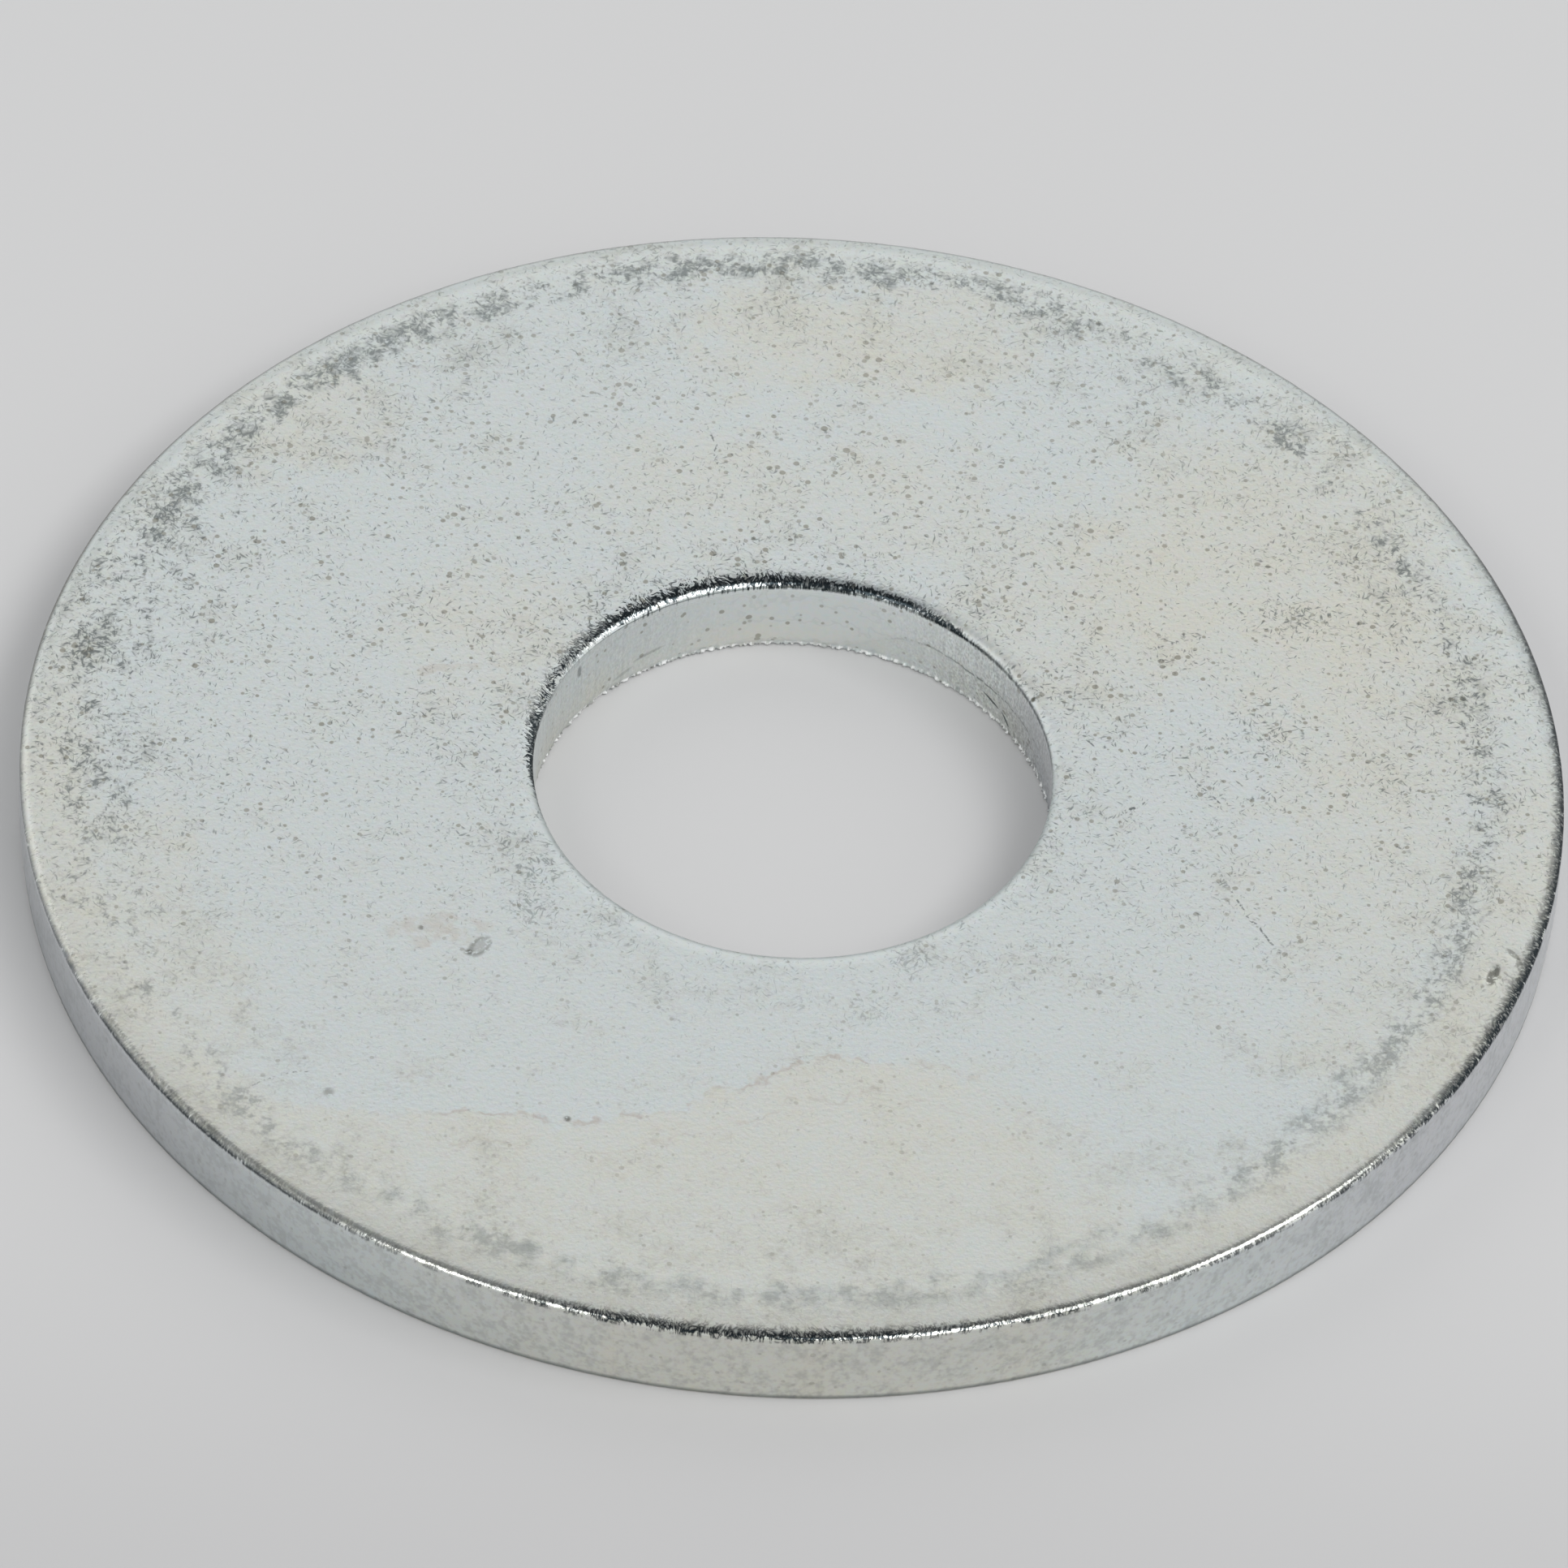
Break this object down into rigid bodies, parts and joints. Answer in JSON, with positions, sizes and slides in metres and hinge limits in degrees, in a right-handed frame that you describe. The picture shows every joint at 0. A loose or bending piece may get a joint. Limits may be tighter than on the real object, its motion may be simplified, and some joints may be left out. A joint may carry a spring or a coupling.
{
  "type": "flat washer",
  "caption": "Wide flat washer punched from plated steel sheet, with rolled edges on its top face and a round hole for a bolt.",
  "frame": {"origin": "centre of the hole on the bottom face, the face that the burr side of the punched edges meets", "axes": "+Z along the hole's axis, towards the top face, whose rim and hole have rolled edges; +X and +Y are any two directions square to it"},
  "size_m": [0.025, 0.025, 0.0015],
  "materials": {
    "zinc_plate": "zinc plated steel with a thin blue and yellow tint, satin on the faces and brighter on the rolled edges and walls"
  },
  "bodies": {
    "root": {"washer": "zinc_plate"}
  },
  "joints": []
}
